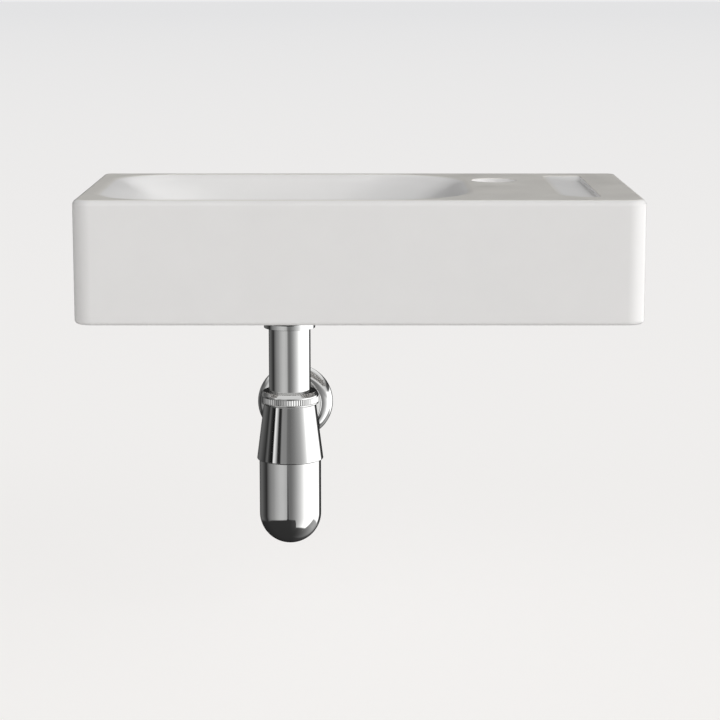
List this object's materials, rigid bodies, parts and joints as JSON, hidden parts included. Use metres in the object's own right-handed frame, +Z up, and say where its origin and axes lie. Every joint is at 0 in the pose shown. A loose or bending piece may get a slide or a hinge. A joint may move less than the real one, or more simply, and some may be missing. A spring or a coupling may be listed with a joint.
{
  "type": "wall hung basin",
  "caption": "Small rectangular wall hung basin with a side tap ledge and soap recess, with its waste and a bottle trap that goes back into the wall.",
  "frame": {"origin": "on the wall plane, midway between the two wall fixings; the rim is 70 mm above it", "axes": "+X to the right as the user faces the basin, +Y into the wall, +Z up"},
  "size_m": [0.42, 0.28, 0.2733],
  "materials": {
    "glazed_ceramic": "white satin glaze",
    "chrome_plate": "polished chrome plate on brass",
    "black_rubber": "moulded, matt",
    "white_nylon": "moulded, slightly grained",
    "zinc_steel": "bright zinc plate",
    "plain_brass": "turned, unplated"
  },
  "bodies": {
    "basin": {"basin_shell": "glazed_ceramic", "hanger_bolts": "zinc_steel", "fixing_bushes": "white_nylon", "fixing_washers": "zinc_steel", "fixing_nuts": "zinc_steel", "waste_body": "chrome_plate", "waste_seal": "black_rubber", "under_washer": "black_rubber", "waste_backnut": "plain_brass", "inlet_seal": "black_rubber", "inlet_tube": "chrome_plate", "slip_ring": "white_nylon", "tube_seal": "black_rubber", "trap_body": "chrome_plate", "cup_seal": "black_rubber", "outlet_seal": "black_rubber", "outlet_tube": "chrome_plate"},
    "waste_cover": {"waste_cover": "chrome_plate", "cover_stem": "white_nylon"},
    "inlet_nut": {"inlet_nut": "chrome_plate"},
    "ring_nut": {"ring_nut": "chrome_plate"},
    "trap_cup": {"trap_cup": "chrome_plate"},
    "outlet_nut": {"outlet_nut": "chrome_plate"},
    "wall_rosette": {"wall_rosette": "chrome_plate", "rosette_ring": "black_rubber"}
  },
  "joints": [
    {"name": "waste_cover_lift", "type": "slide", "parent": "basin", "child": "waste_cover", "axis": [0, 0, 1], "range_m": [0, 0.025]},
    {"name": "inlet_nut_slide", "type": "slide", "parent": "basin", "child": "inlet_nut", "axis": [0, 0, -1], "range_m": [0, 0.02]},
    {"name": "ring_nut_slide", "type": "slide", "parent": "basin", "child": "ring_nut", "axis": [0, 0, 1], "range_m": [0, 0.025]},
    {"name": "trap_cup_removal", "type": "slide", "parent": "basin", "child": "trap_cup", "axis": [0, 0, -1], "range_m": [0, 0.06]},
    {"name": "outlet_nut_slide", "type": "slide", "parent": "basin", "child": "outlet_nut", "axis": [0, 1, 0], "range_m": [0, 0.04]},
    {"name": "rosette_slide", "type": "slide", "parent": "basin", "child": "wall_rosette", "axis": [0, -1, 0], "range_m": [0, 0.035]}
  ]
}
